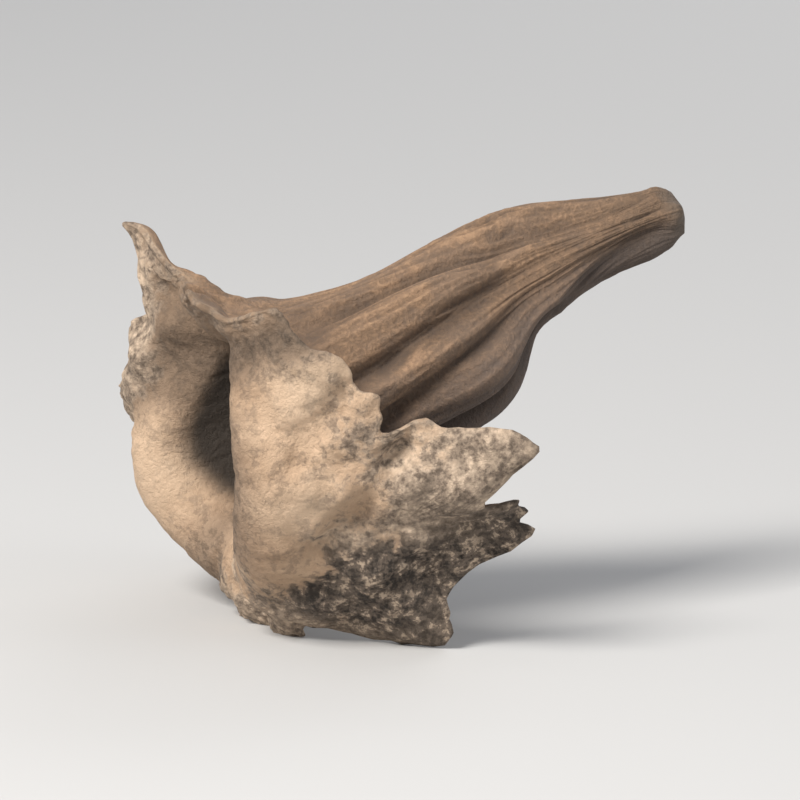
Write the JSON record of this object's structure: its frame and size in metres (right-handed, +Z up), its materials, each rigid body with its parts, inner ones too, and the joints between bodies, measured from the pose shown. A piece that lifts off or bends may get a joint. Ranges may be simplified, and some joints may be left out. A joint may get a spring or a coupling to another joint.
{
  "type": "dried black trumpet mushroom",
  "caption": "Dried black trumpet mushroom: a hollow, ribbed funnel on a thin stem, its ragged rim rolled outwards and back in long lobes.",
  "frame": {"origin": "on the surface that it rests on, under the middle of its bounding box", "axes": "+Z up; +X towards the foot of the stem, which points up and to the right; the mouth opens towards -X; the longest rolled-back lobe is on the -Y side"},
  "size_m": [0.0313, 0.0282, 0.0234],
  "materials": {
    "dried_flesh": "matt, leathery and wrinkled: brown ribbed outside, pale scaly rolled rim, near-black inside the funnel"
  },
  "bodies": {
    "root": {"dried_black_trumpet": "dried_flesh"}
  },
  "joints": []
}
